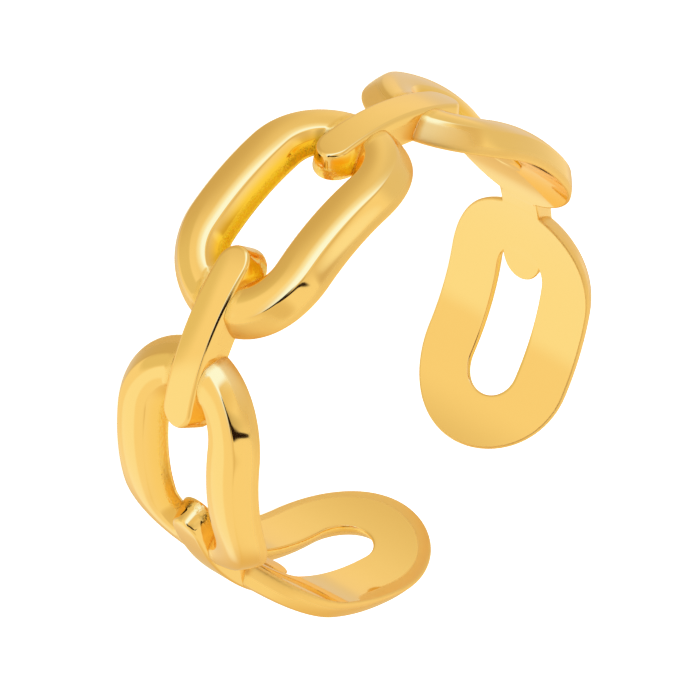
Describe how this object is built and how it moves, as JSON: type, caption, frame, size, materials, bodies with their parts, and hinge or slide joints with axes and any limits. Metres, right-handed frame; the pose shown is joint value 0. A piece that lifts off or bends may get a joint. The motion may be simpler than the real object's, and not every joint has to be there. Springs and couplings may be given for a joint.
{
  "type": "open chain link finger ring",
  "caption": "Open finger ring of flat oval chain links joined end to end by narrow upright bridge links, cast in one piece with a smooth round finger hole and polished gold plating.",
  "frame": {"origin": "centre of the finger hole, halfway along it", "axes": "+Z along the finger hole, up when the ring lies on its side; +X from the centre through the opening between the two free ends; +Y completes the right hand"},
  "size_m": [0.0188, 0.0192, 0.0066],
  "materials": {
    "gold_plate": "polished"
  },
  "bodies": {
    "root": {"chain_band": "gold_plate"}
  },
  "joints": []
}
